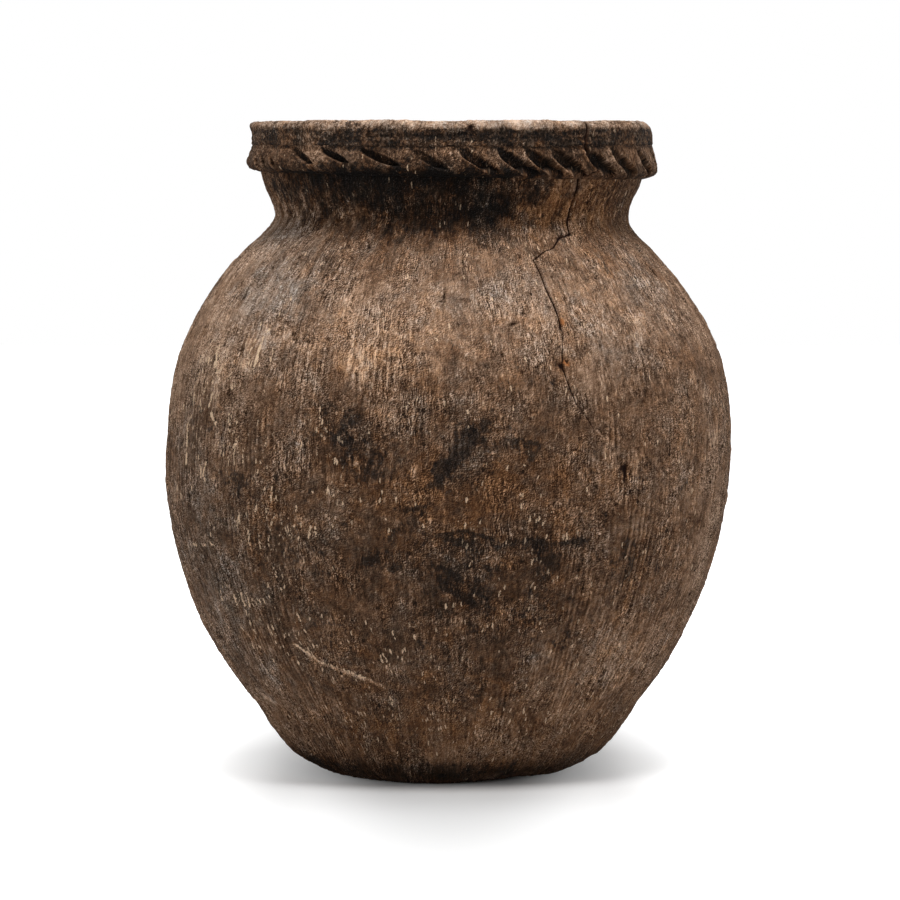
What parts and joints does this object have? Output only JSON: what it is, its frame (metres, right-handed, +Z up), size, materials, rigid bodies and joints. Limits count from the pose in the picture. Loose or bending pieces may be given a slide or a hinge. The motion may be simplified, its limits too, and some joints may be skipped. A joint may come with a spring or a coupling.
{
  "type": "jar",
  "caption": "Round-bodied terracotta storage jar on a small flat base, with a short flared collar, a notched rope cordon below the rim and a thick open mouth.",
  "frame": {"origin": "on the ground plane, under the middle of the belly, which is the middle of the bounding box", "axes": "+Z up through the mouth, +X to the right and +Y away from the viewer as the jar stands in the picture"},
  "size_m": [0.3482, 0.3482, 0.4],
  "materials": {
    "base_clay": "dark worn underside and edge, matt",
    "heel_clay": "reddish brown fired clay, matt, scraped",
    "lower_clay": "dark brown patina over tan clay, matt, scraped",
    "belly_clay": "brown patina with soot over tan clay, matt, scraped",
    "upper_clay": "worn tan clay with brown patina, matt, scraped",
    "shoulder_clay": "worn tan clay, matt, scraped",
    "neck_clay": "dark brown patina, matt",
    "collar_clay": "very dark smoked clay, matt",
    "cordon_clay": "very dark smoked clay with worn ridges, matt",
    "lip_clay": "dark smoked clay, worn pale on top, matt"
  },
  "bodies": {
    "root": {"base_slab": "base_clay", "heel_ring": "heel_clay", "lower_ring": "lower_clay", "belly_ring": "belly_clay", "upper_ring": "upper_clay", "shoulder_ring": "shoulder_clay", "neck_ring": "neck_clay", "neck_collar": "collar_clay", "rope_cordon": "cordon_clay", "lip_ring": "lip_clay"}
  },
  "joints": []
}
